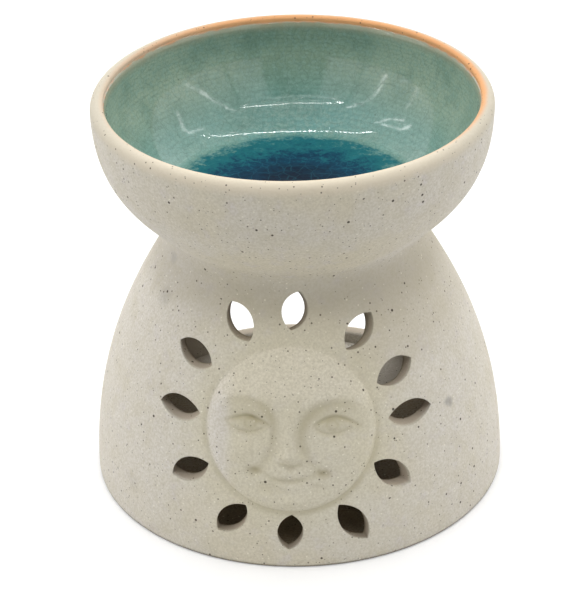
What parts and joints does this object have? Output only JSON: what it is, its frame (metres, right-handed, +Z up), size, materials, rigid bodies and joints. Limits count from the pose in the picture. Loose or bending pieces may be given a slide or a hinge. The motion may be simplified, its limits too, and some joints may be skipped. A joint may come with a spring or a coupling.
{
  "type": "essential oil burner",
  "caption": "Stoneware oil burner: a pierced dome with a sun-face relief and a candle arch carries a shallow glazed oil bowl over a tealight.",
  "frame": {"origin": "centre of the round foot, on the surface that the burner stands on", "axes": "+Z up, the sun face looks towards -Y, the candle arch opens towards +Y, +X to the right of someone who faces the sun"},
  "size_m": [0.1282, 0.1294, 0.1263],
  "materials": {
    "stoneware": "unglazed pale stoneware with fine dark iron specks",
    "celadon_glaze": "glossy blue-green celadon glaze with fine crackle",
    "pool_glass": "glossy deep blue fused glass, crackled",
    "cup_aluminium": "thin drawn aluminium, satin",
    "candle_wax": "white paraffin wax, slightly translucent",
    "sustainer_steel": "thin tinned steel",
    "cotton_wick": "braided cotton"
  },
  "bodies": {
    "burner": {"dome_shell": "stoneware", "base_floor": "stoneware", "bowl": "stoneware", "bowl_glaze": "celadon_glaze", "glass_pool": "pool_glass", "sun_face": "stoneware"},
    "tealight": {"tealight_cup": "cup_aluminium", "tealight_wax": "candle_wax", "wick_sustainer": "sustainer_steel", "tealight_wick": "cotton_wick"}
  },
  "joints": [
    {"name": "tealight_slide", "type": "slide", "parent": "burner", "child": "tealight", "axis": [0, 0.9903, 0.1392], "range_m": [0, 0.11]}
  ]
}
